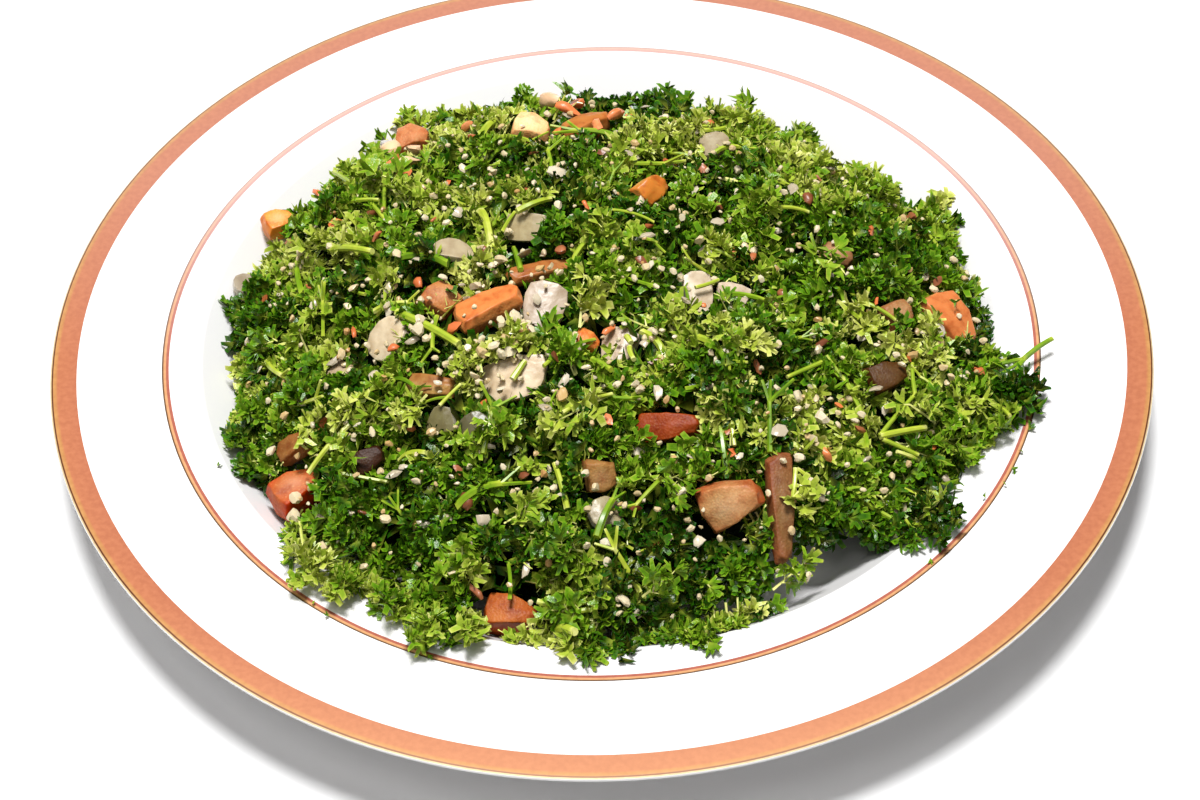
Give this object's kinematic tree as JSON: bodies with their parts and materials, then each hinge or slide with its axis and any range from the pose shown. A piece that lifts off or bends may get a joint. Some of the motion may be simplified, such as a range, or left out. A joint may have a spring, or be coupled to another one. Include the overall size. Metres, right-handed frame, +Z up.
{
  "type": "tabbouleh salad on a dinner plate",
  "caption": "Chopped curly parsley salad with diced tomato, onion and bulgur, heaped in the well of a round white dinner plate with copper-coloured bands.",
  "frame": {"origin": "centre of the plate's foot, on the surface that the plate stands on", "axes": "+Z up along the plate's axis, -Y towards the diner"},
  "size_m": [0.26, 0.26, 0.0416],
  "materials": {
    "white_plastic": "gloss",
    "copper_foil": "satin",
    "parsley": "moist leaf",
    "tomato": "moist",
    "onion": "moist",
    "bulgur": "moist grain"
  },
  "bodies": {
    "root": {"plate": "white_plastic", "salad_heap": "parsley", "tomato_01": "tomato", "tomato_02": "tomato", "tomato_03": "tomato", "tomato_04": "tomato", "tomato_05": "tomato", "tomato_06": "tomato", "tomato_07": "tomato", "tomato_08": "tomato", "tomato_09": "tomato", "tomato_10": "tomato", "tomato_11": "tomato", "tomato_12": "tomato", "tomato_13": "tomato", "tomato_14": "tomato", "tomato_15": "tomato", "tomato_16": "tomato", "tomato_17": "tomato", "tomato_18": "tomato", "tomato_19": "tomato", "tomato_20": "tomato", "tomato_21": "tomato", "tomato_22": "tomato", "onion_01": "onion", "onion_02": "onion", "onion_03": "onion", "onion_04": "onion", "onion_05": "onion", "onion_06": "onion", "onion_07": "onion", "onion_08": "onion", "onion_09": "onion", "onion_10": "onion", "onion_11": "onion", "onion_12": "onion", "onion_13": "onion", "onion_14": "onion", "onion_15": "onion", "onion_16": "onion"}
  },
  "joints": []
}
